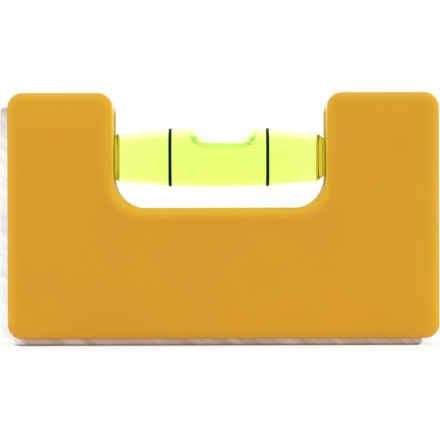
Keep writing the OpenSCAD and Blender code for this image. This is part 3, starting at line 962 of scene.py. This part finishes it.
class LEVEL_OT_bubble(Operator):
    """Builds the bubble, which travels along the bore's roof"""

    bl_idname = "level.bubble"
    bl_label = "Bubble"

    def execute(self, context):
        piece = to_object(bubble_shape(context.scene.level_vial, 0), "air_bubble", pocket_of_air())
        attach(piece, "bubble")
        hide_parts("vial_bubble")
        return {"FINISHED"}


# The paper's reach from the middle, in metres
FLOOR_REACH = 4.0
# Each soft lamp's name, place and width in metres, and the setting that holds its power
LAMPS = (
    ("lamp_above", (0.1, 0.1, 0.85), 0.9, "above"),
    ("lamp_right", (0.9, 0.05, 0.3), 0.7, "right"),
    ("lamp_left", (-0.9, 0.05, 0.3), 0.7, "left"),
)
CARD_PLACE = (0, 0.75, 0.9)
CARD_WIDTH = 1.5
# Width of the camera's sensor in millimetres, and how far it sees in metres
SENSOR_WIDTH = 36.0
SIGHT = 20.0
# Light crosses the vial's layers many times before it comes out again
CLEAR_BOUNCES = 24
GLOSSY_BOUNCES = 12


def add_floor():
    """A wide sheet of paper under the level."""
    shape = bmesh.new()
    bmesh.ops.create_grid(shape, x_segments=1, y_segments=1, size=FLOOR_REACH)
    floor = to_object(shape, "paper_floor", white_paper())


def add_world(props):
    """White to the eye, and an even, softer light on the level."""
    world = bpy.data.worlds.new("white_studio")
    world.use_nodes = True
    tree = world.node_tree
    tree.nodes.clear()
    light = add(tree, "ShaderNodeBackground", {"Color": (1, 1, 1, 1), "Strength": props.ambient})
    white = add(tree, "ShaderNodeBackground", {"Color": (1, 1, 1, 1), "Strength": 1.0})
    mix = add(tree, "ShaderNodeMixShader", {
        0: seen_ray(tree), 1: light.outputs["Background"], 2: white.outputs["Background"],
    })
    add(tree, "ShaderNodeOutputWorld", {"Surface": mix.outputs["Shader"]})
    bpy.context.scene.world = world


def add_lamp(name, place, width, power):
    """A square soft lamp that faces the level's middle."""
    data = bpy.data.lights.new(name, "AREA")
    data.shape = "SQUARE"
    data.size = width
    data.energy = power
    lamp = bpy.data.objects.new(name, data)
    target = Vector((0, 0, (SHELL_LOW.z + SHELL_HIGH.z) / 2))
    lamp.location = place
    lamp.rotation_euler = (target - Vector(place)).to_track_quat("-Z", "Y").to_euler()
    # The paper and the world are all that shows in reflections
    lamp.visible_glossy = False
    bpy.context.scene.collection.objects.link(lamp)
    return lamp


def add_card(props):
    """A wide lamp overhead and behind that only shines along the top of the vial's barrel."""
    lamp = add_lamp("lamp_card", CARD_PLACE, CARD_WIDTH, props.card)
    lamp.rotation_euler = (0, 0, 0)
    lamp.visible_glossy = True
    lamp.visible_diffuse = False
    lamp.visible_transmission = False
    shone_on = bpy.data.collections.new("shone_on")
    shone_on.objects.link(bpy.data.objects["barrel_tube"])
    lamp.light_linking.receiver_collection = shone_on


def add_camera(props):
    """A long lens straight in front of the level."""
    data = bpy.data.cameras.new("front_camera")
    data.sensor_width = SENSOR_WIDTH
    data.lens = props.pixels_per_mm / MM * props.distance * data.sensor_width / props.frame_px
    data.clip_end = SIGHT
    camera = bpy.data.objects.new("front_camera", data)
    camera.location = (props.aim_x, SHELL_LOW.y - props.distance, props.aim_z)
    camera.rotation_euler = (math.radians(90), props.lean, 0)
    bpy.context.scene.collection.objects.link(camera)
    bpy.context.scene.camera = camera


class LEVEL_OT_stage(Operator):
    """Sets up the paper, the light and the camera"""

    bl_idname = "level.stage"
    bl_label = "Stage"

    def execute(self, context):
        props = context.scene.level_stage
        context.scene.view_settings.view_transform = "Standard"
        context.scene.cycles.max_bounces = CLEAR_BOUNCES
        context.scene.cycles.transmission_bounces = CLEAR_BOUNCES
        context.scene.cycles.glossy_bounces = GLOSSY_BOUNCES
        add_floor()
        add_world(props)
        for name, place, width, power in LAMPS:
            add_lamp(name, place, width, getattr(props, power))
        add_card(props)
        add_camera(props)
        return {"FINISHED"}


OPERATORS = (
    LEVEL_OT_shells, LEVEL_OT_rail, LEVEL_OT_magnets, LEVEL_OT_barrel, LEVEL_OT_caps,
    LEVEL_OT_rings, LEVEL_OT_liquid, LEVEL_OT_bubble, LEVEL_OT_stage,
)
GROUPS = (("level_body", LevelBodyProps), ("level_vial", LevelVialProps), ("level_stage", LevelStageProps))


class LEVEL_PT_panel(Panel):
    """Lists the level's pieces, sizes and colours"""

    bl_idname = "LEVEL_PT_panel"
    bl_label = "Pocket level"
    bl_space_type = "VIEW_3D"
    bl_region_type = "UI"
    bl_category = "Level"

    def draw(self, context):
        layout = self.layout
        for operator in OPERATORS:
            layout.operator(operator.bl_idname)
        for name, group in GROUPS:
            box = layout.box()
            for prop in group.__annotations__:
                box.prop(getattr(context.scene, name), prop)


def register():
    """Registers the settings, the operators and the panel."""
    for name, group in GROUPS:
        bpy.utils.register_class(group)
        setattr(bpy.types.Scene, name, PointerProperty(type=group))
    for cls in (*OPERATORS, LEVEL_PT_panel):
        bpy.utils.register_class(cls)


def unregister():
    """Takes the panel, the operators and the settings out again."""
    for cls in (LEVEL_PT_panel, *OPERATORS[::-1]):
        bpy.utils.unregister_class(cls)
    for name, group in GROUPS[::-1]:
        delattr(bpy.types.Scene, name)
        bpy.utils.unregister_class(group)


def main():
    """Builds every piece and the stage."""
    register()
    for operator in OPERATORS:
        space, name = operator.bl_idname.split(".")
        getattr(getattr(bpy.ops, space), name)()


if __name__ == "__main__":
    main()
